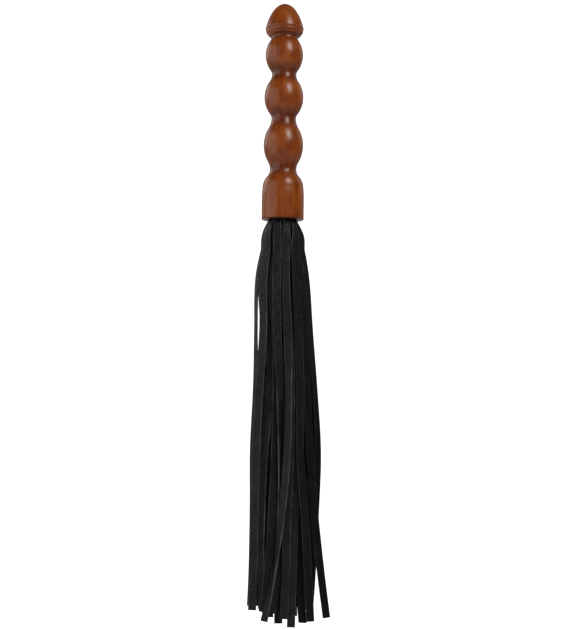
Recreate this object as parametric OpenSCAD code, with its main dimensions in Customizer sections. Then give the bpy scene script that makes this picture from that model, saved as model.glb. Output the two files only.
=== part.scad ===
// Many-tailed leather whisk: turned wooden grip, rolled leather band glued in a socket, thirty cut falls.
// Z up, front is -Y, millimetres. The origin is on the axis, in the middle bead of the grip.

/* [Grip] */
// Height of the rounded top of the finial above the origin
top_z = 92.6; // [80:0.1:110]
// Height of the open mouth of the socket
mouth_z = -123; // [-140:0.5:-100]
// Radius of the finial at its widest
finial_r = 19.1; // [14:0.05:24]
// Radius of the neck under the finial
finial_neck_r = 13.4; // [10:0.1:16]
// Depth of the two fine turned ridges under the lip of the finial
ridge_depth = 0.44; // [0:0.02:0.8]
// Radius of the upper bead
bead1_r = 18.8; // [14:0.05:24]
// Radius of the middle bead
bead2_r = 19.5; // [14:0.05:24]
// Radius of the lower bead
bead3_r = 19.8; // [14:0.05:24]
// Radius of the necks between the beads
neck_r = 12.25; // [9:0.1:15]
// Radius of the arc that the upper bead is turned to
bead1_arc = 24.4; // [20:0.2:30]
// Radius of the arc that the middle bead is turned to
bead2_arc = 27; // [20:0.2:32]
// Radius of the arc that the lower bead is turned to
bead3_arc = 33; // [24:0.2:36]
// Radius of the plain cylindrical land of the ferrule
ferrule_r = 21.1; // [19:0.05:24]
// Height of the shoulder where the plain land begins
land_top_z = -98; // [-105:0.5:-94]
// Rounding of the ferrule's lower outer edge
rim_round = 0.9; // [0.4:0.1:3]

/* [Socket] */
// Radius of the socket that holds the rolled band
socket_r = 14.4; // [13:0.1:17]
// Depth of the socket above the mouth
socket_depth = 36; // [25:1:45]
// Radius of the pilot bore for the core dowel, above the socket
pilot_r = 5.1; // [3:0.1:7]
// Depth of the pilot bore above the socket floor
pilot_depth = 26; // [10:1:40]
// Radius of the hardwood core dowel
dowel_r = 5; // [3:0.1:7]

/* [Leather] */
// Thickness of the leather
leather_t = 1.6; // [1:0.1:3]
// Width of one fall
fall_w = 8; // [5:0.1:12]
// Width of one fall where it is gripped in the mouth
root_w = 6.9; // [5:0.1:12]
// Radial step from one wrap of the band to the next
wrap_step = 2; // [1.7:0.05:3]
// Radius of the middle of the innermost wrap at the mouth
inner_wrap_r = 7; // [6:0.1:9]
// Depth below the mouth at which the falls part from one another
split = 30; // [20:1:40]
// Cut line left between a fall and the root it hangs from
cut_gap = 0.6; // [0.3:0.1:1]
// How much the falls belly out just below the mouth, as a share of their distance from the axis
mouth_swell = 0.18; // [0:0.01:0.25]
// Radius of the whipping cord wound round the rolled band
cord_r = 0.25; // [0.15:0.05:0.5]

/* [Hidden] */
$fn = 96;
neck1_z = 58.3;
bead1_z = 41.5;
neck2_z = 22;
bead2_z = -0.7;
neck3_z = -21.6;
bead3_z = -48.6;
neck4_z = -72.6;
socket_top = mouth_z + socket_depth;
band_bottom = mouth_z + 1.2;
wood = [0.55, 0.27, 0.13];
core_wood = [0.76, 0.6, 0.4];
leather = [0.13, 0.12, 0.11];
leather_b = [0.17, 0.16, 0.15];
resin = [0.75, 0.62, 0.3];
waxed = [0.82, 0.78, 0.68];

// depths below the mouth at which each fall's route is stated; the last one is the fall's own length
depths = [0, 30, 60, 110, 170, 230, 290, 350];

// Routes: [wrap 0 inner to 3 outer, angle in the mouth, length, [x, y, turn] at each depth from 30 on].
// The angle is 0 at the front and 90 on the right; turn is how far the fall is turned from facing front.
routes = [
  [3, 18, 396, [[3.6, -16.2, 3], [3.8, -18, -20], [6.2, -18.5, 0], [7.6, -18.5, -35],
    [7, -19, -30], [2.5, -20.3, -42], [-4.9, -20.8, -70], [-14, -18.5, -35]]],
  [3, -18, 390, [[-4.9, -16, -6], [-5, -17.5, 0], [-4, -17, 5], [-0.4, -15.5, 25],
    [0.5, -14, 60], [0.5, -11.8, 60], [-1.6, -12, 35], [-7, -12, 15]]],
  [3, -54, 387, [[-15.4, -13.3, -28], [-18.2, -13, -22], [-18, -13, -20], [-21, -12.5, -15],
    [-23.4, -12, -15], [-24.5, -12, -15], [-25, -12, -10], [-26, -12, -8]]],
  [3, -90, 385, [[-20.4, -1, -76], [-24.9, 0, -66], [-25.6, 0, -70], [-25.1, -1, -50],
    [-26.5, -2, -25], [-25.9, -3, -15], [-26.4, -4, -15], [-27.5, -4, -10]]],
  [3, 54, 397, [[12.2, -14.2, 30], [14, -15, 25], [17, -15, 12], [19.2, -15, 10],
    [19.7, -15, 20], [24.8, -15, 12], [28.8, -15, 10], [31.6, -14, 5]]],
  [3, 90, 390, [[20.4, 1, 60], [25.1, 1, 56], [29.2, 1, 58], [34.2, 0, 54],
    [37.7, 0, 41], [35.8, 2, 12], [33.6, 5.5, 20], [31.2, 8, 10]]],
  [3, 126, 393, [[15.5, 10.5, 130], [18, 11.5, 135], [21, 11, 145], [23, 10.5, 150],
    [25, 10, 155], [27.6, 10, 160], [28, 11, 165], [28.5, 12, 170]]],
  [3, 162, 398, [[6, 16.5, 160], [7, 18.5, 165], [9, 18.5, 170], [11, 18, 175],
    [12, 18, 170], [12, 18, 180], [11, 18.5, 185], [10, 19, 180]]],
  [3, 198, 390, [[-6, 16.5, 200], [-7.5, 18.5, 195], [-8, 18.5, 190], [-8, 18, 185],
    [-9, 18, 180], [-10, 18, 185], [-12, 18.5, 190], [-13, 19, 190]]],
  [3, 234, 389, [[-15, 10.5, 232], [-20.4, 11.5, 222], [-18.5, 11, 220], [-19.5, 10.5, 210],
    [-21, 10, 205], [-22, 10, 200], [-22.5, 10, 195], [-22.5, 10, 190]]],
  [2, -45, 388, [[-9.8, -12.2, -22], [-10.3, -13.2, -18], [-5.2, -13.2, 0], [-4, -12.4, 5],
    [-4.8, -11.3, 5], [-7.2, -12.8, 5], [-11, -13.3, 0], [-15.5, -13, -5]]],
  [2, 0, 401, [[-1, -13.6, 0], [-1.6, -12.6, 0], [-1.2, -10.2, 0], [-1.5, -7.5, -5],
    [-1, -6.5, 0], [-1, -5.5, 5], [-0.5, -7, 0], [0, -8, 0]]],
  [2, 45, 394, [[15.8, -6.8, 57], [19.5, -8, 50], [23.1, -9.5, 42], [26.2, -10, 35],
    [29.3, -10.5, 15], [34.4, -11, 10], [41.6, -11, 20], [47.6, -11, 25]]],
  [2, 90, 392, [[16.6, 1.5, 85], [19, 3, 80], [24.3, 3.5, 60], [29.6, 3.5, 42],
    [31.8, 3, 30], [28.4, 5, 15], [24.4, 3, 15], [23, 1.5, 15]]],
  [2, 135, 399, [[10, 10, 137], [11.5, 11.5, 140], [12, 10.5, 160], [13, 10, 165],
    [14, 9.5, 170], [14.5, 9.5, 175], [14, 10, 180], [15, 11, 180]]],
  [2, 180, 384, [[0.5, 13.2, 180], [0.5, 15.3, 180], [1, 14.3, 180], [2, 14, 175],
    [2, 14, 180], [1.5, 14, 185], [0, 14, 180], [-1, 14.5, 180]]],
  [2, 225, 396, [[-10, 10, 223], [-11.5, 11.5, 220], [-11, 10.5, 205], [-11, 10, 200],
    [-11.5, 9.5, 195], [-12, 9.5, 190], [-13, 10, 185], [-13, 10.5, 185]]],
  [2, 270, 380, [[-16.8, 0.5, 276], [-17.2, -1.5, 290], [-18.6, -0.9, 308], [-18.5, 1.4, 325],
    [-18, 1, 335], [-19, 1, 335], [-20, 1, 340], [-21, 1, 340]]],
  [1, -26, 388, [[-5.6, -9.8, -26], [-9.3, -9.7, -14], [-10.9, -9.6, -5], [-10.8, -9.5, -5],
    [-15, -9.8, -35], [-16.9, -8.5, -50], [-17.2, -8, -50], [-17, -8, -40]]],
  [1, 26, 395, [[5.4, -9.7, 26], [7.8, -11.2, 15], [9.3, -13.3, 0], [10, -14, 0],
    [9.8, -13.5, 5], [7.9, -13, -5], [7, -13, 0], [5.6, -13.5, 0]]],
  [1, 77, 400, [[11, -2.5, 77], [12.8, -4, 55], [16.3, -5, 20], [17, -6, 20],
    [18, -6.5, 10], [19, -7, 5], [20, -8, 0], [24, -8.5, 0]]],
  [1, 129, 387, [[8.8, 7.1, 129], [9.5, 7.7, 133], [12.5, 5.5, 150], [14, 5, 160],
    [15, 4.5, 170], [16, 4.5, 175], [16, 5, 180], [17, 5, 180]]],
  [1, 180, 401, [[0, 11, 180], [0.5, 11.8, 180], [1.5, 10, 178], [2, 9.8, 180],
    [2, 9.5, 182], [1.5, 9.5, 180], [0.5, 9.8, 180], [2, 10, 180]]],
  [1, 231, 386, [[-8.8, 7.1, 231], [-9.5, 7.7, 227], [-12, 5.5, 210], [-13, 5, 200],
    [-13.5, 4.5, 195], [-13.5, 4.5, 190], [-14, 5, 185], [-14, 5, 185]]],
  [1, 283, 395, [[-11, -2.5, 283], [-12, -2.8, 300], [-11.5, -4, 320], [-10.2, -4.5, 340],
    [-10, -5, 345], [-10.5, -6, 350], [-10.5, -7, 350], [-9, -7.5, 355]]],
  [0, 0, 404, [[0, -7.8, 0], [2.6, -8.2, 8], [9, -8.6, 5], [13, -9.3, 0],
    [14.3, -9.5, -5], [15, -10, 0], [13.6, -10.5, 0], [12.6, -10.5, 0]]],
  [0, 72, 395, [[7.4, -2.4, 72], [8.3, -2.6, 58], [8.5, -4, 25], [9, -4.5, 10],
    [9, -5, 0], [9.5, -5.5, 0], [9, -6, 0], [8, -6, 0]]],
  [0, 144, 390, [[4.6, 6.3, 144], [4.8, 6.4, 150], [4.5, 5, 175], [5, 4.5, 180],
    [6, 4, 180], [6.5, 3.5, 180], [6, 3.5, 180], [6, 3.5, 180]]],
  [0, 216, 394, [[-4.6, 6.3, 216], [-4.8, 6.4, 210], [-5, 4.5, 185], [-5, 4, 180],
    [-4.5, 3.5, 180], [-4, 3, 178], [-4, 2.5, 180], [-4, 2.5, 180]]],
  [0, 288, 385, [[-7.4, -2.4, 288], [-7.5, -2.6, 302], [-5.7, -3.8, 340], [-4.7, -3.8, 345],
    [-3, -2.5, 350], [-3, -1.8, 360], [-3.5, -3, 360], [-4, -3.5, 360]]],
];

// ---- turned outline of the grip, as [radius, height] points from the top down ----

// finial dome: a blunt bullet whose radius grows with the square root of the depth
dome_h = 24;
function dome_r(h) = sqrt(h * (19.9 - 0.228 * h)) * finial_r / 18.85;
dome = [for (i = [0:13]) let (h = dome_h * (i / 13) * (i / 13)) [dome_r(h), top_z - h]];

// rolled lip under the finial, with two fine turned ridges on its underside
lip_r = 8;
lip_z = top_z - 25.1;
function ridge(a) = a > -3 || a < -51 ? 0 : ridge_depth / 2 * (cos(15 * (a + 3)) - 1);
lip = [
  for (a = [0, for (k = [-3:-4:-51]) k, -57, -62.5, -68])
    let (q = lip_r + ridge(a)) [finial_r - lip_r + q * cos(a), lip_z + q * sin(a)]
];

// Turned swell from a crest of radius rc at height zc to a neck of radius rn at height zn: an arc of
// radius r at the crest runs smoothly into a hollow arc at the neck.
function swell(zc, rc, zn, rn, r) =
  let (
    dz = zn - zc,
    tilt = 2 * atan((rc - rn) / abs(dz)),
    c = abs(dz) / sin(tilt) - r,
    up = sign(dz)
  )
  concat(
    [for (i = [0:8]) let (a = tilt * i / 8) [rc - r + r * cos(a), zc + up * r * sin(a)]],
    [for (i = [6:-1:0]) let (a = tilt * i / 7) [rn + c - c * cos(a), zn - up * c * sin(a)]]
  );
function flip(p) = [for (i = [len(p) - 1:-1:0]) p[i]];
function tail(p) = [for (i = [1:len(p) - 1]) p[i]];

rim = [
  for (a = [0:-15:-90]) [
    ferrule_r - rim_round + rim_round * cos(a), mouth_z + rim_round + rim_round * sin(a)
  ]
];

grip_outline = concat(
  dome, lip,
  flip(swell(bead1_z, bead1_r, neck1_z, finial_neck_r, bead1_arc)),
  tail(swell(bead1_z, bead1_r, neck2_z, neck_r, bead1_arc)),
  tail(flip(swell(bead2_z, bead2_r, neck2_z, neck_r, bead2_arc))),
  tail(swell(bead2_z, bead2_r, neck3_z, neck_r, bead2_arc)),
  tail(flip(swell(bead3_z, bead3_r, neck3_z, neck_r, bead3_arc))),
  tail(swell(bead3_z, bead3_r, neck4_z, neck_r + 1, bead3_arc)),
  tail(flip(swell(-91.5, ferrule_r - 0.55, neck4_z, neck_r + 1, 17.6))),
  [[ferrule_r - 0.2, -95], [ferrule_r, land_top_z]],
  rim
);

socket_outline = [
  [socket_r + 0.5, mouth_z], [socket_r, mouth_z + 0.6], [socket_r, socket_top - 1],
  [socket_r - 1, socket_top], [pilot_r, socket_top],
  [pilot_r, socket_top + pilot_depth], [0, socket_top + pilot_depth + 2],
];

// ---- routes of the falls ----

function knots(i) =
  let (f = routes[i], r = inner_wrap_r + wrap_step * f[0], a = f[1])
  concat([[r * sin(a), -r * cos(a), a]], f[3]);
function depth(i, k) = k > 7 ? routes[i][2] : depths[k];

// slope of the route at knot k, by depth
function slope(i, p, k) =
  k == 0 ? (p[1] - p[0]) / (depth(i, 1) - depth(i, 0)) :
  k == 8 ? (p[8] - p[7]) / (depth(i, 8) - depth(i, 7)) :
  (p[k + 1] - p[k - 1]) / (depth(i, k + 1) - depth(i, k - 1));

// [x, y, turn] at depth d between knots k and k + 1, a smooth cubic
function between(i, p, k, d) =
  let (
    h = depth(i, k + 1) - depth(i, k),
    u = (d - depth(i, k)) / h,
    m = slope(i, p, k) * h,
    n = slope(i, p, k + 1) * h
  )
  p[k] * (2 * u * u * u - 3 * u * u + 1) + m * (u * u * u - 2 * u * u + u)
  + p[k + 1] * (3 * u * u - 2 * u * u * u) + n * (u * u * u - u * u);
function span_at(i, d) = max([0, for (k = [1:7]) if (d >= depth(i, k)) k]);

// The falls belly out just below the mouth: their distance from the axis grows by this factor at depth d.
function belly(d) =
  d <= 0 || d >= split ? 1 : 1 + mouth_swell * 5.38 * (d / split) * pow(1 - d / split, 1.5);
function at(i, d) =
  let (p = between(i, knots(i), span_at(i, d), d), b = belly(d)) [b * p[0], b * p[1], p[2]];

// width of a fall and how much it is still curled round the roll, at depth d
function width_at(d) = fall_w - (fall_w - root_w) * max(0, 1 - d / 20);
function curl_at(i, d) = max(0, 1 - d / 70) / (inner_wrap_r + wrap_step * routes[i][0]);

// four points across the leather, at offset v from its middle surface
function across(i, d, v) =
  let (p = at(i, d), w = width_at(d), c = curl_at(i, d))
  [
    for (s = [-0.5, -0.17, 0.17, 0.5])
      let (u = s * w, q = c * u * u / 2 - v)
      [p[0] + u * cos(p[2]) - q * sin(p[2]), p[1] + u * sin(p[2]) + q * cos(p[2]), mouth_z - d]
  ];
function section(i, d) =
  let (o = across(i, d, leather_t / 2), n = across(i, d, -leather_t / 2))
  [o[0], o[1], o[2], o[3], n[3], n[2], n[1], n[0]];

// a strip of leather through the sections at the given depths, from the top down
module strip(i, ds) {
  n = len(ds);
  polyhedron(
    points = [for (d = ds) each section(i, d)],
    faces = concat(
      [for (k = [0:2]) each [[k, 7 - k, 6 - k], [k, 6 - k, k + 1]]],
      [for (k = [0:2]) each let (b = 8 * (n - 1)) [
        [b + k, b + 6 - k, b + 7 - k], [b + k, b + k + 1, b + 6 - k]
      ]],
      [for (s = [0:n - 2], k = [0:7]) each let (a = 8 * s, j = (k + 1) % 8) [
        [a + k, a + j, a + 8 + k], [a + j, a + 8 + j, a + 8 + k]
      ]]
    )
  );
}

function fall_depths(i) =
  concat([split + cut_gap, 45, 60, 85], [for (d = [110:30:350]) d], [(350 + routes[i][2]) / 2, routes[i][2]]);

// ---- parts ----

// grip turned from one piece of wood, bored from below for the band and the dowel
module handle() {
  color(wood)
    rotate_extrude()
      polygon(concat(grip_outline, socket_outline));
}

// dowel that the band is rolled round and that runs up into the pilot bore
module core_dowel() {
  color(core_wood)
    translate([0, 0, mouth_z + 2])
      rotate_extrude()
        polygon([
          [0, 0], [dowel_r - 0.8, 0], [dowel_r, 0.8],
          [dowel_r, socket_depth + pilot_depth - 5], [dowel_r - 1, socket_depth + pilot_depth - 4],
          [0, socket_depth + pilot_depth - 4],
        ]);
}

// uncut band of leather, rolled four times round the dowel
module fall_band() {
  start_r = inner_wrap_r - wrap_step / 2;
  steps = 40;
  n = 3.5 * steps;
  function ray(k, v) =
    let (a = 360 * k / steps, r = start_r + wrap_step * k / steps + v) [r * sin(a), -r * cos(a)];
  color(leather)
    translate([0, 0, band_bottom])
      linear_extrude(height = 28)
        polygon(concat(
          [for (k = [0:n]) ray(k, leather_t / 2)],
          [for (k = [n:-1:0]) ray(k, -leather_t / 2)]
        ));
}

// waxed whipping cord wound round the rolled band before it is glued in
module whipping() {
  color(waxed)
    for (k = [0:4])
      translate([0, 0, mouth_z + 15 + 1.2 * k])
        rotate_extrude()
          translate([socket_r - cord_r - 0.02, 0])
            circle(r = cord_r, $fn = 24);
}

// disc of glue above the band, at the blind end of the socket
module glue_bed() {
  color(resin)
    translate([0, 0, band_bottom + 28.1])
      difference() {
        cylinder(r = socket_r - 0.1, h = 5.5);
        translate([0, 0, -1])
          cylinder(r = dowel_r + 0.1, h = 8);
      }
}

// the thirty roots, where the falls leave the mouth still curled round the roll
module fall_roots() {
  color(leather)
    for (i = [0:29])
      strip(i, [0, 3, 7, 12, 19, 25, split]);
}

// one fall, number i of the routes
module fall(i) {
  color(i % 3 == 0 ? leather_b : leather)
    strip(i, fall_depths(i));
}

handle();
core_dowel();
fall_band();
whipping();
glue_bed();
fall_roots();
fall(0);  // fall_01
fall(1);  // fall_02
fall(2);  // fall_03
fall(3);  // fall_04
fall(4);  // fall_05
fall(5);  // fall_06
fall(6);  // fall_07
fall(7);  // fall_08
fall(8);  // fall_09
fall(9);  // fall_10
fall(10);  // fall_11
fall(11);  // fall_12
fall(12);  // fall_13
fall(13);  // fall_14
fall(14);  // fall_15
fall(15);  // fall_16
fall(16);  // fall_17
fall(17);  // fall_18
fall(18);  // fall_19
fall(19);  // fall_20
fall(20);  // fall_21
fall(21);  // fall_22
fall(22);  // fall_23
fall(23);  // fall_24
fall(24);  // fall_25
fall(25);  // fall_26
fall(26);  // fall_27
fall(27);  // fall_28
fall(28);  // fall_29
fall(29);  // fall_30
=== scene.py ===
"""Visual model of a many-tailed leather whisk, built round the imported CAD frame. Metres."""
import math
import random

import bpy
from mathutils import Matrix, Vector, noise


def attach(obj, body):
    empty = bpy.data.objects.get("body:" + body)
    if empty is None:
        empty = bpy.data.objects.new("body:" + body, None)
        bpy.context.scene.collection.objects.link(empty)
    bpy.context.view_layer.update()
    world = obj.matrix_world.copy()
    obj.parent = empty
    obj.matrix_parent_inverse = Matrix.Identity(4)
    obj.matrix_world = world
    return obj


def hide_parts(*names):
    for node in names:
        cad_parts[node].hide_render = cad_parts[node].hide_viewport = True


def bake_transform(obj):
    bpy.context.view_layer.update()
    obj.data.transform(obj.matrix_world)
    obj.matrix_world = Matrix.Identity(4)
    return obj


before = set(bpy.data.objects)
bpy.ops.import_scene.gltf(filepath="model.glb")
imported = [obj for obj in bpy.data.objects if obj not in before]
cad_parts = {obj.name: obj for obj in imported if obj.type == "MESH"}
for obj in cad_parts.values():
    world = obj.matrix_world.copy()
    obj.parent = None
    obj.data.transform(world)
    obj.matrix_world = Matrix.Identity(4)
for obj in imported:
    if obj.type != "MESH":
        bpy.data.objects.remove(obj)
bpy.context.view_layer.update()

MM = 0.001

# ---------------------------------------------------------------- camera

# the camera stands CAM_D in front of the object and looks level; MID_Z is the frame's middle height
CAM_X, CAM_Z, CAM_D = 0.0037, -0.245, 0.930
MID_Z = -0.218
ROLL = math.radians(0.617)
LENS_MM, SENSOR_MM = 53.14, 36
cam_data = bpy.data.cameras.new("camera")
cam_data.lens = LENS_MM
cam_data.sensor_width = SENSOR_MM
cam_data.shift_y = (MID_Z - CAM_Z) / CAM_D * LENS_MM / SENSOR_MM
cam = bpy.data.objects.new("camera", cam_data)
cam.matrix_world = (
    Matrix.Translation((CAM_X, -CAM_D, CAM_Z))
    @ Matrix.Rotation(math.pi / 2, 4, "X")
    @ Matrix.Rotation(ROLL, 4, "Z")
)
bpy.context.scene.collection.objects.link(cam)
bpy.context.scene.camera = cam

# ---------------------------------------------------------------- sizes shared with the CAD model

# all in mm: heights are z, depths are measured down from the ferrule's mouth
TOP_Z, MOUTH_Z = 92.6, -123.0
FINIAL_R, FINIAL_NECK_R = 19.1, 13.4
# the finial's dome is an ellipse arc DOME_H high; its lip is an arc of LIP_R with ridges cut in it
DOME_H, DOME_WIDE, DOME_CURVE, DOME_R = 24, 19.9, 0.228, 18.85
LIP_R, LIP_DROP, RIDGE = 8, 25.1, 0.44
NECK_R, FERRULE_R = 12.25, 21.1
# beads: height of the crest, radius there, radius of the crest's arc; necks: height and radius
BEADS = [(41.5, 18.8, 24.4), (-0.7, 19.5, 27.0), (-48.6, 19.8, 33.0)]
NECKS = [(58.3, FINIAL_NECK_R), (22.0, NECK_R), (-21.6, NECK_R), (-72.6, NECK_R + 1)]
SHOULDER = (-91.5, FERRULE_R - 0.55, 17.6)
LAND_Z, LAND_STEP = -98.4, 2.3
RIM_ROUND = 0.9
SOCKET_R, SOCKET_TOP, PILOT_R, PILOT_TOP = 14.4, -87.0, 5.1, -61.0
GRIP_SEGMENTS = 192
# leather: thickness, width of a fall, width where the mouth grips it, radius of its cut corners
T, FALL_W, ROOT_W, EDGE_R = 1.6, 8.0, 6.9, 0.38
NARROW_DEPTH, CURL_DEPTH, CUP_DEPTH, SLANT_DEPTH = 20, 70, 90, 8
INNER_R, STEP = 7.0, 2.0
# outer falls leave their roots SPLIT + CUT down; the roots swell outwards by SWELL above that
SPLIT, CUT, SWELL, BELLY = 30.0, 0.6, 0.18, 5.38
ROOT_START, ROOT_RING, FALL_RING, PATH_STEP = -2.0, 2.0, 2.5, 12
LIFT_BEND, OUTER_FALLS = 20, 10
DEPTHS = [0, 30, 60, 110, 170, 230, 290, 350]
# for each fall: its turn in the roll (3 outermost), its angle in the mouth, its length, and its
# x, y and turn in degrees at each of DEPTHS after the first, and at its end
ROUTES = [
    (3, 18, 396, [(3.6, -16.2, 3), (3.8, -18, -20), (6.2, -18.5, 0), (7.6, -18.5, -35),
     (7, -19, -30), (2.5, -20.3, -42), (-4.9, -20.8, -70), (-14, -18.5, -35)]),
    (3, -18, 390, [(-4.9, -16, -6), (-5, -17.5, 0), (-4, -17, 5), (-0.4, -15.5, 25),
     (0.5, -14, 60), (0.5, -11.8, 60), (-1.6, -12, 35), (-7, -12, 15)]),
    (3, -54, 387, [(-15.4, -13.3, -28), (-18.2, -13, -22), (-18, -13, -20), (-21, -12.5, -15),
     (-23.4, -12, -15), (-24.5, -12, -15), (-25, -12, -10), (-26, -12, -8)]),
    (3, -90, 385, [(-20.4, -1, -76), (-24.9, 0, -66), (-25.6, 0, -70), (-25.1, -1, -50),
     (-26.5, -2, -25), (-25.9, -3, -15), (-26.4, -4, -15), (-27.5, -4, -10)]),
    (3, 54, 397, [(12.2, -14.2, 30), (14, -15, 25), (17, -15, 12), (19.2, -15, 10),
     (19.7, -15, 20), (24.8, -15, 12), (28.8, -15, 10), (31.6, -14, 5)]),
    (3, 90, 390, [(20.4, 1, 60), (25.1, 1, 56), (29.2, 1, 58), (34.2, 0, 54),
     (37.7, 0, 41), (35.8, 2, 12), (33.6, 5.5, 20), (31.2, 8, 10)]),
    (3, 126, 393, [(15.5, 10.5, 130), (18, 11.5, 135), (21, 11, 145), (23, 10.5, 150),
     (25, 10, 155), (27.6, 10, 160), (28, 11, 165), (28.5, 12, 170)]),
    (3, 162, 398, [(6, 16.5, 160), (7, 18.5, 165), (9, 18.5, 170), (11, 18, 175),
     (12, 18, 170), (12, 18, 180), (11, 18.5, 185), (10, 19, 180)]),
    (3, 198, 390, [(-6, 16.5, 200), (-7.5, 18.5, 195), (-8, 18.5, 190), (-8, 18, 185),
     (-9, 18, 180), (-10, 18, 185), (-12, 18.5, 190), (-13, 19, 190)]),
    (3, 234, 389, [(-15, 10.5, 232), (-20.4, 11.5, 222), (-18.5, 11, 220), (-19.5, 10.5, 210),
     (-21, 10, 205), (-22, 10, 200), (-22.5, 10, 195), (-22.5, 10, 190)]),
    (2, -45, 388, [(-9.8, -12.2, -22), (-10.3, -13.2, -18), (-5.2, -13.2, 0), (-4, -12.4, 5),
     (-4.8, -11.3, 5), (-7.2, -12.8, 5), (-11, -13.3, 0), (-15.5, -13, -5)]),
    (2, 0, 401, [(-1, -13.6, 0), (-1.6, -12.6, 0), (-1.2, -10.2, 0), (-1.5, -7.5, -5),
     (-1, -6.5, 0), (-1, -5.5, 5), (-0.5, -7, 0), (0, -8, 0)]),
    (2, 45, 394, [(15.8, -6.8, 57), (19.5, -8, 50), (23.1, -9.5, 42), (26.2, -10, 35),
     (29.3, -10.5, 15), (34.4, -11, 10), (41.6, -11, 20), (47.6, -11, 25)]),
    (2, 90, 392, [(16.6, 1.5, 85), (19, 3, 80), (24.3, 3.5, 60), (29.6, 3.5, 42),
     (31.8, 3, 30), (28.4, 5, 15), (24.4, 3, 15), (23, 1.5, 15)]),
    (2, 135, 399, [(10, 10, 137), (11.5, 11.5, 140), (12, 10.5, 160), (13, 10, 165),
     (14, 9.5, 170), (14.5, 9.5, 175), (14, 10, 180), (15, 11, 180)]),
    (2, 180, 384, [(0.5, 13.2, 180), (0.5, 15.3, 180), (1, 14.3, 180), (2, 14, 175),
     (2, 14, 180), (1.5, 14, 185), (0, 14, 180), (-1, 14.5, 180)]),
    (2, 225, 396, [(-10, 10, 223), (-11.5, 11.5, 220), (-11, 10.5, 205), (-11, 10, 200),
     (-11.5, 9.5, 195), (-12, 9.5, 190), (-13, 10, 185), (-13, 10.5, 185)]),
    (2, 270, 380, [(-16.8, 0.5, 276), (-17.2, -1.5, 290), (-18.6, -0.9, 308), (-18.5, 1.4, 325),
     (-18, 1, 335), (-19, 1, 335), (-20, 1, 340), (-21, 1, 340)]),
    (1, -26, 388, [(-5.6, -9.8, -26), (-9.3, -9.7, -14), (-10.9, -9.6, -5), (-10.8, -9.5, -5),
     (-15, -9.8, -35), (-16.9, -8.5, -50), (-17.2, -8, -50), (-17, -8, -40)]),
    (1, 26, 395, [(5.4, -9.7, 26), (7.8, -11.2, 15), (9.3, -13.3, 0), (10, -14, 0),
     (9.8, -13.5, 5), (7.9, -13, -5), (7, -13, 0), (5.6, -13.5, 0)]),
    (1, 77, 400, [(11, -2.5, 77), (12.8, -4, 55), (16.3, -5, 20), (17, -6, 20),
     (18, -6.5, 10), (19, -7, 5), (20, -8, 0), (24, -8.5, 0)]),
    (1, 129, 387, [(8.8, 7.1, 129), (9.5, 7.7, 133), (12.5, 5.5, 150), (14, 5, 160),
     (15, 4.5, 170), (16, 4.5, 175), (16, 5, 180), (17, 5, 180)]),
    (1, 180, 401, [(0, 11, 180), (0.5, 11.8, 180), (1.5, 10, 178), (2, 9.8, 180),
     (2, 9.5, 182), (1.5, 9.5, 180), (0.5, 9.8, 180), (2, 10, 180)]),
    (1, 231, 386, [(-8.8, 7.1, 231), (-9.5, 7.7, 227), (-12, 5.5, 210), (-13, 5, 200),
     (-13.5, 4.5, 195), (-13.5, 4.5, 190), (-14, 5, 185), (-14, 5, 185)]),
    (1, 283, 395, [(-11, -2.5, 283), (-12, -2.8, 300), (-11.5, -4, 320), (-10.2, -4.5, 340),
     (-10, -5, 345), (-10.5, -6, 350), (-10.5, -7, 350), (-9, -7.5, 355)]),
    (0, 0, 404, [(0, -7.8, 0), (2.6, -8.2, 8), (9, -8.6, 5), (13, -9.3, 0),
     (14.3, -9.5, -5), (15, -10, 0), (13.6, -10.5, 0), (12.6, -10.5, 0)]),
    (0, 72, 395, [(7.4, -2.4, 72), (8.3, -2.6, 58), (8.5, -4, 25), (9, -4.5, 10),
     (9, -5, 0), (9.5, -5.5, 0), (9, -6, 0), (8, -6, 0)]),
    (0, 144, 390, [(4.6, 6.3, 144), (4.8, 6.4, 150), (4.5, 5, 175), (5, 4.5, 180),
     (6, 4, 180), (6.5, 3.5, 180), (6, 3.5, 180), (6, 3.5, 180)]),
    (0, 216, 394, [(-4.6, 6.3, 216), (-4.8, 6.4, 210), (-5, 4.5, 185), (-5, 4, 180),
     (-4.5, 3.5, 180), (-4, 3, 178), (-4, 2.5, 180), (-4, 2.5, 180)]),
    (0, 288, 385, [(-7.4, -2.4, 288), (-7.5, -2.6, 302), (-5.7, -3.8, 340), (-4.7, -3.8, 345),
     (-3, -2.5, 350), (-3, -1.8, 360), (-3.5, -3, 360), (-4, -3.5, 360)]),
]


# ---------------------------------------------------------------- node materials


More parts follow.
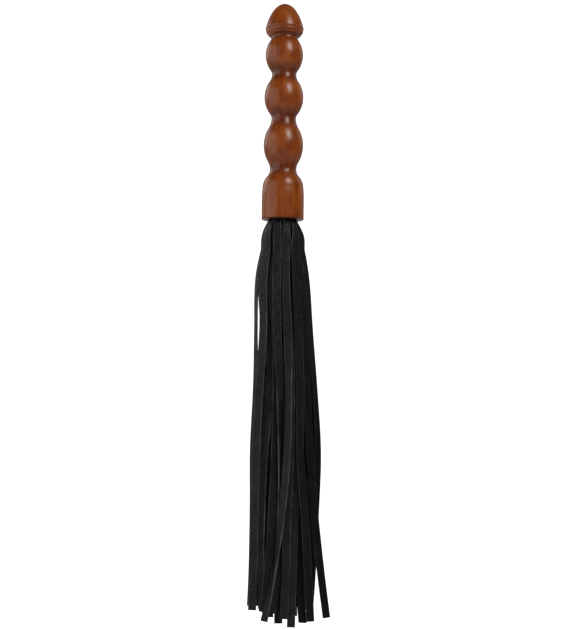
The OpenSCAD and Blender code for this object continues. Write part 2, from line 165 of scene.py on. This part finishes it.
class Nodes:
    """Wires one material's nodes. coords() gives metres, or the mesh attribute that it is told."""

    def __init__(self, name):
        self.mat = bpy.data.materials.new(name)
        self.mat.use_nodes = True
        self.tree = self.mat.node_tree
        self.tree.nodes.clear()
        self.out = self.tree.nodes.new("ShaderNodeOutputMaterial")
        self.bsdf = self.tree.nodes.new("ShaderNodeBsdfPrincipled")
        self.link(self.bsdf, 0, self.out, 0)

    def link(self, a, i, b, j):
        self.tree.links.new(a.outputs[i], b.inputs[j])

    def node(self, kind, **values):
        n = self.tree.nodes.new(kind)
        for k, v in values.items():
            if hasattr(n, k):
                setattr(n, k, v)
            else:
                n.inputs[k.replace("_", " ")].default_value = v
        return n

    def set(self, **values):
        for k, v in values.items():
            self.bsdf.inputs[k.replace("_", " ")].default_value = v

    def coords(self, scale, attribute=None):
        if attribute:
            src = self.node("ShaderNodeAttribute", attribute_name=attribute)
            out = 1
        else:
            src = self.node("ShaderNodeTexCoord")
            out = 3
        m = self.node("ShaderNodeMapping")
        m.inputs["Scale"].default_value = scale
        self.link(src, out, m, 0)
        return m

    def noise(self, coords, scale, detail, rough, distortion=0.0):
        n = self.node(
            "ShaderNodeTexNoise", Scale=scale, Detail=detail, Roughness=rough, Distortion=distortion
        )
        self.link(coords, 0, n, 0)
        return n

    def ramp(self, src, stops, i=0):
        r = self.node("ShaderNodeValToRGB")
        els = r.color_ramp.elements
        while len(els) < len(stops):
            els.new(0.5)
        for e, (p, c) in zip(els, stops):
            e.position = p
            e.color = (*c, 1)
        self.link(src, i, r, 0)
        return r

    def multiply(self, a, b, fac, ai=0):
        m = self.node("ShaderNodeMix", data_type="RGBA", blend_type="MULTIPLY")
        m.inputs[0].default_value = fac
        self.link(a, ai, m, 6)
        self.link(b, 0, m, 7)
        return m

    def bump(self, height, strength, distance, after=None):
        b = self.node("ShaderNodeBump", Strength=strength, Distance=distance)
        self.link(height, 0, b, "Height")
        if after:
            self.link(after, 0, b, "Normal")
        self.link(b, 0, self.bsdf, "Normal")
        return b


def grey(v):
    return (v, v, v)


def wood_material():
    """Stained hardwood under satin lacquer: mottled, streaked and pored along the axis, with
    painted shade and stain in its hollows.
    """
    m = Nodes("lacquered_wood")
    warp = m.noise(m.coords((95, 95, 46)), 1.0, 5.0, 0.6, 0.9)
    fine = m.noise(m.coords((1000, 1000, 55)), 1.0, 5.0, 0.7)
    streak = m.noise(m.coords((190, 190, 10)), 1.0, 4.0, 0.6, 0.35)
    base = m.ramp(
        warp,
        [
            (0.27, (0.180, 0.032, 0.002)),
            (0.48, (0.270, 0.057, 0.004)),
            (0.72, (0.355, 0.092, 0.008)),
        ],
    )
    pores = m.ramp(fine, [(0.36, grey(0.70)), (0.54, grey(1.0))])
    dark = m.ramp(streak, [(0.30, (0.36, 0.28, 0.26)), (0.47, grey(1.0))])
    # painted shade and stain: the grip darker and warmer in its necks, grooves and under the
    # mouth's rim
    shade_and_stain_attr = m.node("ShaderNodeAttribute", attribute_name="hollow")
    shade_and_stain_tint = m.ramp(shade_and_stain_attr, [(0.10, grey(1.0)), (0.95, (0.50, 0.38, 0.34))], i=2)
    col = m.multiply(base, pores, 0.55)
    col = m.multiply(col, dark, 0.32, ai=2)
    col = m.multiply(col, shade_and_stain_tint, 1.0, ai=2)
    m.link(col, 2, m.bsdf, "Base Color")
    rough = m.ramp(fine, [(0.3, grey(0.46)), (0.7, grey(0.36))])
    m.link(rough, 0, m.bsdf, "Roughness")
    m.set(Coat_Weight=0.65, Coat_Roughness=0.27, Specular_IOR_Level=0.12)
    ripple = m.bump(warp, 0.22, 0.0010)
    m.bump(fine, 0.12, 0.0002, after=ripple)
    return m.mat


def leather_material(name, kind):
    """Black leather: its pebbled grain side, its duller flesh side, or its paler cut edge."""
    m = Nodes(name)
    c = m.coords((1, 1, 1), "rest_mm")
    pebble = m.node(
        "ShaderNodeTexVoronoi", feature="SMOOTH_F1", Scale=0.75, Smoothness=0.4, Randomness=1.0
    )
    m.link(c, 0, pebble, 0)
    fine = m.noise(c, 1.7, 4.0, 0.65)
    broad = m.noise(c, 0.05, 3.0, 0.5)
    wear = m.noise(c, 0.35, 4.0, 0.6)
    crease = m.noise(m.coords((0.5, 0.09, 0.5), "rest_mm"), 1.0, 3.0, 0.5)
    if kind == "grain":
        tone = m.ramp(broad, [(0.3, (0.0056, 0.0052, 0.0053)), (0.7, (0.0122, 0.0112, 0.0112))])
        fleck = m.ramp(pebble, [(0.05, grey(1.45)), (0.50, grey(0.65))])
        rough = m.ramp(wear, [(0.3, grey(0.30)), (0.7, grey(0.48))])
        shine = (0.12, 0.44)
        m.set(Sheen_Weight=0.01, Sheen_Roughness=0.4)
    elif kind == "flesh":
        tone = m.ramp(broad, [(0.3, (0.0055, 0.0068, 0.0072)), (0.7, (0.0110, 0.0130, 0.0134))])
        fleck = m.ramp(fine, [(0.3, grey(0.6)), (0.7, grey(1.4))])
        rough = m.ramp(wear, [(0.3, grey(0.62)), (0.7, grey(0.8))])
        shine = (0.08, 0.2)
        m.set(Sheen_Weight=0.06, Sheen_Roughness=0.5)
    else:
        tone = m.ramp(broad, [(0.3, (0.014, 0.016, 0.017)), (0.65, (0.090, 0.100, 0.106))])
        fleck = m.ramp(fine, [(0.3, grey(0.5)), (0.7, grey(1.3))])
        rough = m.ramp(wear, [(0.3, grey(0.55)), (0.7, grey(0.75))])
        shine = (0.15, 0.35)
        m.set(Sheen_Weight=0.03, Sheen_Roughness=0.5)
    col = m.multiply(tone, fleck, 1.0)
    # per fall tone, partly the fall's dye and partly painted light and shade, which sets its colour
    # and its gloss
    dye_and_shade_value = m.node("ShaderNodeAttribute", attribute_name="dye_and_shade")
    dye_and_shade = m.ramp(dye_and_shade_value, [(0.0, grey(0.4)), (1.0, (1.60, 1.56, 1.55))], i=2)
    col = m.multiply(col, dye_and_shade, 1.0, ai=2)
    gloss = m.ramp(dye_and_shade_value, [(0.0, grey(shine[0])), (1.0, grey(shine[1]))], i=2)
    worn = m.multiply(gloss, fleck, 1.0)
    m.link(worn, 2, m.bsdf, "Specular IOR Level")
    m.link(col, 2, m.bsdf, "Base Color")
    m.link(rough, 0, m.bsdf, "Roughness")
    bent = m.bump(crease, 0.35, 0.0016)
    soft = m.bump(wear, 0.30, 0.0007, after=bent)
    pebbled, fuzzy = (1.0, 0.30) if kind == "grain" else (0.3, 0.5)
    grain = m.bump(pebble, pebbled, 0.0005, after=soft)
    m.bump(fine, fuzzy, 0.0002, after=grain)
    return m.mat


def plain_material(name, low, high, scale, rough, bump):
    """A mottled material for the parts inside the ferrule, from one noise."""
    m = Nodes(name)
    n = m.noise(m.coords(scale), 1.0, 5.0, 0.6)
    m.link(m.ramp(n, [(0.3, low), (0.7, high)]), 0, m.bsdf, "Base Color")
    m.link(m.ramp(n, [(0.3, grey(rough)), (0.7, grey(rough * 0.8))]), 0, m.bsdf, "Roughness")
    m.bump(n, *bump)
    return m.mat


WOOD = wood_material()
GRAIN = leather_material("leather_grain", "grain")
FLESH = leather_material("leather_flesh", "flesh")
EDGE = leather_material("leather_cut_edge", "edge")
DOWEL = plain_material(
    "dowel_wood", (0.42, 0.26, 0.13), (0.6, 0.42, 0.24), (500, 500, 20), 0.6, (0.2, 0.0003)
)
RESIN = plain_material(
    "glue", (0.4, 0.24, 0.06), (0.55, 0.36, 0.12), (200, 200, 200), 0.35, (0.3, 0.0006)
)
CORD = plain_material(
    "waxed_cord", (0.5, 0.42, 0.3), (0.72, 0.64, 0.5), (1500, 1500, 3000), 0.6, (0.6, 0.0002)
)
HIDE = plain_material(
    "rolled_leather",
    (0.012, 0.011, 0.01), (0.03, 0.027, 0.025), (900, 900, 900), 0.6, (0.4, 0.0002),
)


# ---------------------------------------------------------------- mesh helpers


def make(name, verts, faces, mats, indices=None):
    """A mesh object, smooth but for its many-sided end caps, whose edges are sharp."""
    mesh = bpy.data.meshes.new(name)
    mesh.from_pydata(verts, [], faces)
    for mat in mats:
        mesh.materials.append(mat)
    if indices:
        mesh.polygons.foreach_set("material_index", indices)
    mesh.polygons.foreach_set("use_smooth", [len(f) < 5 for f in faces])
    mesh.update()
    rims = {k for p in mesh.polygons if len(p.vertices) > 4 for k in p.edge_keys}
    for e in mesh.edges:
        e.use_edge_sharp = tuple(sorted(e.vertices)) in rims
    obj = bpy.data.objects.new(name, mesh)
    bpy.context.scene.collection.objects.link(obj)
    return obj


# ---------------------------------------------------------------- the turned grip


def swell(crest, neck):
    """(radius, height) points from a bead's crest to a neck, two arcs that meet smoothly."""
    (zc, rc, r), (zn, rn) = crest, neck
    dz = zn - zc
    tilt = 2 * math.atan((rc - rn) / abs(dz))
    c = abs(dz) / math.sin(tilt) - r
    up = 1 if dz > 0 else -1
    a = [tilt * i / 18 for i in range(19)]
    b = [tilt * i / 12 for i in range(12, -1, -1)]
    return [(rc - r + r * math.cos(x), zc + up * r * math.sin(x)) for x in a] + [
        (rn + c - c * math.cos(x), zn - up * c * math.sin(x)) for x in b[1:]
    ]


def grip_profile():
    """(radius, height) points from the tip down the outside, then up the socket and the bore."""
    dome = []
    for i in range(1, 41):
        h = DOME_H * (i / 40) ** 2
        dome.append((math.sqrt(h * (DOME_WIDE - DOME_CURVE * h)) * FINIAL_R / DOME_R, TOP_Z - h))
    lip = []
    for i in range(69):
        cut = RIDGE / 2 * (math.cos(math.radians(15 * (i - 3))) - 1) if 3 < i < 51 else 0
        a = math.radians(-i)
        r, z = (LIP_R + cut) * math.cos(a), (LIP_R + cut) * math.sin(a)
        lip.append((FINIAL_R - LIP_R + r, TOP_Z - LIP_DROP + z))
    out = dome + lip
    for k, bead in enumerate(BEADS):
        out += swell(bead, NECKS[k])[::-1][1 if k else 0 :]
        out += swell(bead, NECKS[k + 1])[1:]
    out += swell(SHOULDER, NECKS[3])[::-1][1:]
    out += [(FERRULE_R - 0.38, -93.2), (FERRULE_R - 0.2, -95), (FERRULE_R - 0.07, -96.6)]
    out += [(FERRULE_R, LAND_Z - LAND_STEP * i) for i in range(11)]
    for i in range(9):
        a = math.radians(-90 * i / 8)
        out.append(
            (FERRULE_R - RIM_ROUND * (1 - math.cos(a)), MOUTH_Z + RIM_ROUND * (1 + math.sin(a)))
        )
    out += [(SOCKET_R + 1.6, MOUTH_Z), (SOCKET_R + 0.6, MOUTH_Z + 0.15)]
    out += [(SOCKET_R + 0.15, MOUTH_Z + 0.6)]
    out += [(SOCKET_R, MOUTH_Z + 1.4 + 3.2 * i) for i in range(11)]
    out += [(SOCKET_R - 1, SOCKET_TOP), (PILOT_R + 1, SOCKET_TOP), (PILOT_R, SOCKET_TOP + 0.6)]
    out += [(PILOT_R, PILOT_TOP), (PILOT_R * 0.5, PILOT_TOP + 1)]
    return out


def shade_and_stain_at(v):
    """Painted shade and gathered stain at a point of the grip: 0 on the swells, more in the necks
    and grooves and at the mouth under the rim, where shade falls.
    """
    r, z = math.hypot(v.x, v.y) / MM, v.z / MM
    deep = max(0.0, min(1.0, (17.6 - r) / 5.0)) if z < TOP_Z - 22 else 0.0
    under = max(0.0, 1 - abs(z - (MOUTH_Z + 0.6)) / 2.2) * 0.8
    groove = 0.6 * math.exp(-(((z - TOP_Z + 23.2) / 0.9) ** 2))
    return min(1.0, max(deep, under, groove))


def build_grip():
    """Revolves the profile round the axis and caps it at the tip and at the end of the bore."""
    prof = grip_profile()
    seg = GRIP_SEGMENTS
    verts = [(0, 0, TOP_Z * MM)]
    for r, z in prof:
        for i in range(seg):
            a = 2 * math.pi * i / seg
            verts.append((r * math.cos(a) * MM, r * math.sin(a) * MM, z * MM))
    verts.append((0, 0, (PILOT_TOP + 2) * MM))
    faces = [(0, 1 + i, 1 + (i + 1) % seg) for i in range(seg)]
    for j in range(len(prof) - 1):
        a, b = 1 + j * seg, 1 + (j + 1) * seg
        faces += [(a + i, b + i, b + (i + 1) % seg, a + (i + 1) % seg) for i in range(seg)]
    last = 1 + (len(prof) - 1) * seg
    faces += [(last + i, len(verts) - 1, last + (i + 1) % seg) for i in range(seg)]
    obj = make("grip_wood", verts, faces, [WOOD])
    # painted shade and stain in the necks, grooves and under the rim, which darkens the wood's
    # colour
    hollow = obj.data.attributes.new("hollow", "FLOAT", "POINT")
    hollow.data.foreach_set("value", [shade_and_stain_at(Vector(v)) for v in verts])
    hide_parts("handle")
    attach(obj, "grip")


# ---------------------------------------------------------------- the leather falls


def knots(i):
    """The (x, y, turn) points of fall i, the first on the roll in the mouth."""
    wrap, a, _, rest = ROUTES[i]
    r, t = INNER_R + STEP * wrap, math.radians(a)
    return [(r * math.sin(t), -r * math.cos(t), a)] + rest


def depth_of(i, k):
    """Depth of knot k of fall i; the last knot is the fall's cut end."""
    return ROUTES[i][2] if k > 7 else DEPTHS[k]


def route(i, d):
    """(x, y, turn) of fall i at depth d, the same smooth cubic as the CAD solid follows."""
    p = knots(i)
    k = max(j for j in range(8) if j == 0 or d >= depth_of(i, j))

    def slope(q, j):
        if j == 0:
            return (q[1] - q[0]) / (depth_of(i, 1) - depth_of(i, 0))
        if j == 8:
            return (q[8] - q[7]) / (depth_of(i, 8) - depth_of(i, 7))
        return (q[j + 1] - q[j - 1]) / (depth_of(i, j + 1) - depth_of(i, j - 1))

    h = depth_of(i, k + 1) - depth_of(i, k)
    u = (d - depth_of(i, k)) / h
    out = []
    for c in range(3):
        q = [v[c] for v in p]
        m, n = slope(q, k) * h, slope(q, k + 1) * h
        out.append(
            q[k] * (2 * u**3 - 3 * u**2 + 1) + m * (u**3 - 2 * u**2 + u)
            + q[k + 1] * (3 * u**2 - 2 * u**3) + n * (u**3 - u**2)
        )
    if 0 < d < SPLIT:
        # BELLY brings this curve's highest value to 1
        belly = 1 + SWELL * BELLY * (d / SPLIT) * (1 - d / SPLIT) ** 1.5
        out[0] *= belly
        out[1] *= belly
    return out



def ring_profile(w):
    """(u, v, part) round one cross-section; part 0 grain side, 1 cut edge, 2 flesh side."""
    h, t = w / 2, T / 2
    q = EDGE_R
    side = [(-h + q + (w - 2 * q) * k / 6, t) for k in range(7)]
    right = [
        (h - q * 0.3, t - q * 0.28), (h, t - q * 1.05), (h + 0.05, 0),
        (h, -t + q * 1.05), (h - q * 0.3, -t + q * 0.28),
    ]
    back = [(-a, -b) for a, b in side]
    left = [(-a, -b) for a, b in right]
    parts = [0] * 6 + [1] * 6 + [2] * 6 + [1] * 6
    return side + right + back + left, parts


def strip_mesh(i, depths, verts, faces, index, rest, dye_and_shade):
    """Adds fall i, through the given depths, to the lists of a mesh."""
    rng = random.Random(100 + i)
    # the fall's tone: listed falls carry painted light and shade, the others differ at random
    shade = TONE_AND_SHADE.get(i + 1, rng.uniform(0.2, 0.75))
    slant = SLANT.get(i + 1, rng.uniform(-0.06, 0.06))
    cup = rng.uniform(-0.02, 0.03)
    phase = rng.uniform(0, 100)
    base = len(verts)
    for d in depths:
        x, y, turn = route(i, d)
        if 0 < d < SPLIT:
            turn += 16 * TWIST.get(i + 1, 0) * (d / SPLIT) ** 2 * (1 - d / SPLIT) ** 2
        # width, with the knife's wander
        w = FALL_W - (FALL_W - ROOT_W) * max(0, 1 - d / NARROW_DEPTH)
        w += 0.10 * noise.noise(Vector((phase, d * 0.09, 0.3)))
        t = math.radians(turn)
        c, s = math.cos(t), math.sin(t)
        # curvature across the strip: round the roll at its root, slightly cupped lower down
        curl = max(0, 1 - d / CURL_DEPTH) / (INNER_R + STEP * ROUTES[i][0])
        uneven = 0.6 + 0.8 * noise.noise(Vector((phase, d * 0.012, 9.1)))
        curl += cup * min(1, d / CUP_DEPTH) * uneven
        prof, parts = ring_profile(w)
        n = len(prof)
        for u, v in prof:
            q = curl * u * u / 2 - v
            q += 0.06 * noise.noise(Vector((phase + u * 0.16, d * 0.05, 4.0)))
            end = slant * u * max(0.0, 1 - (ROUTES[i][2] - d) / SLANT_DEPTH)
            z = MOUTH_Z - d + end
            verts.append(((x + u * c - q * s) * MM, (y + u * s + q * c) * MM, z * MM))
            # the flat leather's own coordinates, set apart from one fall to the next
            rest.append((u + 40 * i, d, v + 7 * i))
            dye_and_shade.append(shade)
    rings = len(depths)
    swap = {0: 2, 1: 1, 2: 0} if i + 1 in FLESH_OUT else {0: 0, 1: 1, 2: 2}
    for k in range(rings - 1):
        a, b = base + k * n, base + (k + 1) * n
        for j in range(n):
            faces.append((a + j, a + (j + 1) % n, b + (j + 1) % n, b + j))
            index.append(swap[parts[j]])
    faces.append(tuple(base + j for j in range(n - 1, -1, -1)))
    faces.append(tuple(base + (rings - 1) * n + j for j in range(n)))
    index += [1, 1]


def strips(name, jobs):
    """One mesh of several falls; jobs holds (fall, depths of its rings)."""
    verts, faces, index, rest, dye_and_shade = [], [], [], [], []
    for i, depths in jobs:
        strip_mesh(i, depths, verts, faces, index, rest, dye_and_shade)
    obj = make(name, verts, faces, [GRAIN, EDGE, FLESH], index)
    mesh = obj.data
    att = mesh.attributes.new("rest_mm", "FLOAT_VECTOR", "POINT")
    att.data.foreach_set("vector", [c for p in rest for c in p])
    att = mesh.attributes.new("dye_and_shade", "FLOAT", "POINT")
    att.data.foreach_set("value", dye_and_shade)
    return obj


def steps(a, b, most):
    """Evenly spaced values from a to b, no further apart than most."""
    n = max(1, math.ceil((b - a) / most))
    return [a + (b - a) * k / n for k in range(n + 1)]


# by fall number: those whose duller flesh side faces outwards
FLESH_OUT = (9, 13, 16, 20, 25)
# how light a fall's tone is, partly its dye and partly painted light and shade (falls on the right
# side darker, inner falls in shade lighter), and how far its end is cut off square, where that
# shows
TONE_AND_SHADE = {
    1: 0.62, 2: 0.58, 3: 0.85, 4: 0.7, 5: 0.3, 6: 0.08, 7: 0.1, 11: 0.5, 12: 0.4, 13: 0.12, 14: 0.1,
    20: 0.95, 21: 0.2, 26: 0.85,
}
SLANT = {2: -0.15, 12: 0.02, 19: -0.2}
# extra twist of a root in degrees, halfway down it, which closes the view between two roots
TWIST = {6: -8}


def hang(i, start):
    """Walks fall i's route from start to its cut end in steps of PATH_STEP; nothing is kept."""
    for d in steps(start, ROUTES[i][2], PATH_STEP):
        x, y, _ = route(i, d)


def build_falls():
    """The outer falls' roots as one mesh, from inside the mouth to where the falls leave them, and
    each of the thirty falls.
    """
    jobs = [(i, steps(ROOT_START, SPLIT + CUT, ROOT_RING)) for i in range(OUTER_FALLS)]
    roots = strips("fall_roots_outer", jobs)
    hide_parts("fall_roots")
    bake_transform(roots)
    for i in range(len(ROUTES)):
        node = "fall_%02d" % (i + 1)
        start = SPLIT + CUT if i < OUTER_FALLS else ROOT_START
        obj = strips("leather_" + node, [(i, steps(start, ROUTES[i][2], FALL_RING))])
        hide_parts(node)
        if i < OUTER_FALLS:
            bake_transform(obj)
        else:
            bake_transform(obj)
        hang(i, start)


def dress_cad_nodes():
    """The parts inside the ferrule keep their CAD shape and get their materials."""
    dress = {"core_dowel": DOWEL, "fall_band": HIDE, "whipping": CORD, "glue_bed": RESIN}
    for node, mat in dress.items():
        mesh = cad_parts[node].data
        mesh.materials.clear()
        mesh.materials.append(mat)


# ---------------------------------------------------------------- studio

# metres: the floor's height and extent, the radius of its sweep; strengths seen by the object
FLOOR_Z, FLOOR_FRONT, FLOOR_BACK, FLOOR_HALF = -0.64, -3.0, 1.2, 4
SWEEP_R, BACKDROP_TOP = 0.9, 3.2
SURROUND, FLOOR_GLOW = 0.05, 0.10


def area(name, at, to, size, power, colour=(1, 1, 1)):
    data = bpy.data.lights.new(name, "AREA")
    data.shape = "RECTANGLE"
    data.size, data.size_y = size
    data.energy = power
    data.color = colour
    obj = bpy.data.objects.new(name, data)
    obj.location = at
    obj.rotation_euler = (Vector(to) - Vector(at)).to_track_quat("-Z", "Y").to_euler()
    bpy.context.scene.collection.objects.link(obj)


def white_surround():
    """The camera sees white paper; the object is lit by a dimmer surround."""
    world = bpy.data.worlds.new("studio")
    bpy.context.scene.world = world
    world.use_nodes = True
    tree = world.node_tree
    bg = tree.nodes["Background"]
    bg.inputs[0].default_value = (1, 1, 1, 1)
    path = tree.nodes.new("ShaderNodeLightPath")
    level = tree.nodes.new("ShaderNodeMapRange")
    level.inputs["To Min"].default_value = SURROUND
    level.inputs["To Max"].default_value = 1.0
    tree.links.new(path.outputs["Is Camera Ray"], level.inputs["Value"])
    tree.links.new(level.outputs[0], bg.inputs[1])


def pale_floor():
    """A pale floor that sweeps up behind the object."""
    prof = [(FLOOR_FRONT, FLOOR_Z), (FLOOR_BACK, FLOOR_Z)]
    for k in range(1, 13):
        a = math.radians(90 * k / 12)
        prof.append((FLOOR_BACK + SWEEP_R * math.sin(a), FLOOR_Z + SWEEP_R - SWEEP_R * math.cos(a)))
    prof.append((FLOOR_BACK + SWEEP_R, BACKDROP_TOP))
    verts = [(x, y, z) for y, z in prof for x in (-FLOOR_HALF, FLOOR_HALF)]
    faces = [(2 * k, 2 * k + 1, 2 * k + 3, 2 * k + 2) for k in range(len(prof) - 1)]
    m = Nodes("pale_floor")
    n = m.noise(m.coords((3, 3, 3)), 1.0, 3.0, 0.5)
    m.link(m.ramp(n, [(0.3, grey(0.66)), (0.7, grey(0.70))]), 0, m.bsdf, "Base Color")
    m.set(Roughness=0.9, Specular_IOR_Level=0.1, Emission_Color=(1, 1, 1, 1))
    seen = m.node("ShaderNodeLightPath")
    glow = m.node("ShaderNodeMapRange", To_Min=FLOOR_GLOW, To_Max=1.0)
    m.link(seen, 0, glow, 0)
    m.link(glow, 0, m.bsdf, "Emission Strength")
    make("floor", verts, faces, [m.mat])


def lights():
    """A softbox high on the right, a broad fill from the left, and two rims from behind."""
    area("key", (0.74, -1.0, 0.92), (0, 0, -0.05), (0.58, 0.84), 16, (1, 0.94, 0.88))
    area("fill_left", (-1.5, -0.6, 0.15), (0, 0, -0.15), (2.2, 1.8), 14.5, (1, 0.96, 0.92))
    area("front", (0.1, -2.2, 0.3), (0, 0, -0.2), (1.2, 1.6), 1.2)
    area("rim_left", (-1.15, 0.75, 0.52), (0, 0, 0), (0.6, 0.76), 2.9, (1, 0.88, 0.80))
    area("rim_right", (1.15, 0.75, 0.52), (0, 0, 0), (0.6, 0.76), 1.1, (1, 0.86, 0.76))


build_grip()
build_falls()
dress_cad_nodes()
white_surround()
pale_floor()
lights()
bpy.context.scene.view_settings.view_transform = "Standard"
